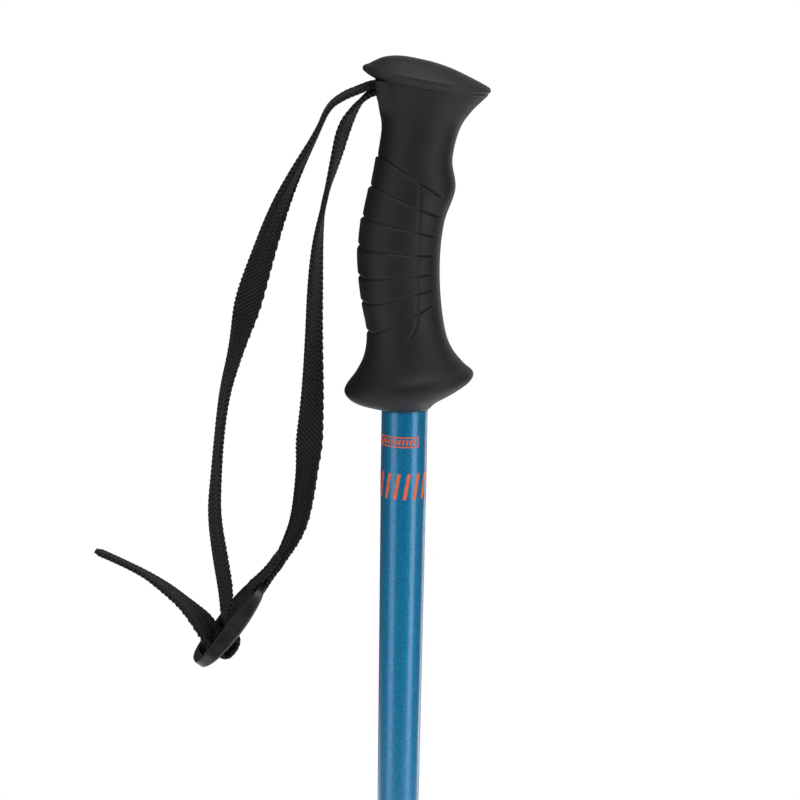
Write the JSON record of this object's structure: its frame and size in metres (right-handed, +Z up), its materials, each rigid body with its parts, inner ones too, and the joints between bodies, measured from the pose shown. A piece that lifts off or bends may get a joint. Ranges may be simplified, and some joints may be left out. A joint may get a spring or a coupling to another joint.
{
  "type": "ski pole",
  "caption": "Alpine ski pole: tapered blue alloy shaft, contoured black grip with domed cap and adjustable wrist strap, free-turning snow basket and steel tip.",
  "frame": {"origin": "bottom of the steel tip, on the shaft's axis", "axes": "+Z up the shaft to the cap, +X to the side the fingers curl round, -X to the wrist strap, Y across the grip"},
  "size_m": [0.1389, 0.062, 0.9],
  "materials": {
    "shaft_paint": "anodised-look metallic blue lacquer on drawn aluminium tube, fine flake",
    "grip": "matt moulded polypropylene, fine grained",
    "cap": "matt moulded polypropylene, slightly smoother than the grip",
    "screw": "zinc-plated steel, darkened",
    "webbing": "black polyester twill webbing",
    "thread": "black polyester bar tack",
    "buckle": "semi-gloss moulded acetal",
    "ferrule": "matt moulded nylon",
    "tip_steel": "turned hardened steel",
    "basket": "matt moulded polyethylene",
    "shaft_print": null
  },
  "bodies": {
    "root": {"shaft": "shaft_paint", "grip": "grip", "grip_cap": "cap", "cap_screw": "screw", "strap_root": "webbing", "tip_ferrule": "ferrule", "steel_tip": "tip_steel"},
    "strap": {"strap_adjusting_side": "webbing", "strap_fixed_side": "webbing", "strap_threaded_loop": "webbing", "strap_sewn_fold": "webbing", "strap_tail": "webbing", "strap_stitching": "thread", "strap_buckle": "buckle"},
    "basket": {"basket": "basket"}
  },
  "joints": [
    {"name": "strap_swing", "type": "hinge", "parent": "root", "child": "strap", "pos_m": [-0.0128, 0, 0.8894], "axis": [0, 1, 0], "range_deg": [-3, 50]},
    {"name": "basket_spin", "type": "hinge", "parent": "root", "child": "basket", "pos_m": [0, 0, 0.0532], "axis": [0, 0, 1], "continuous": true}
  ]
}
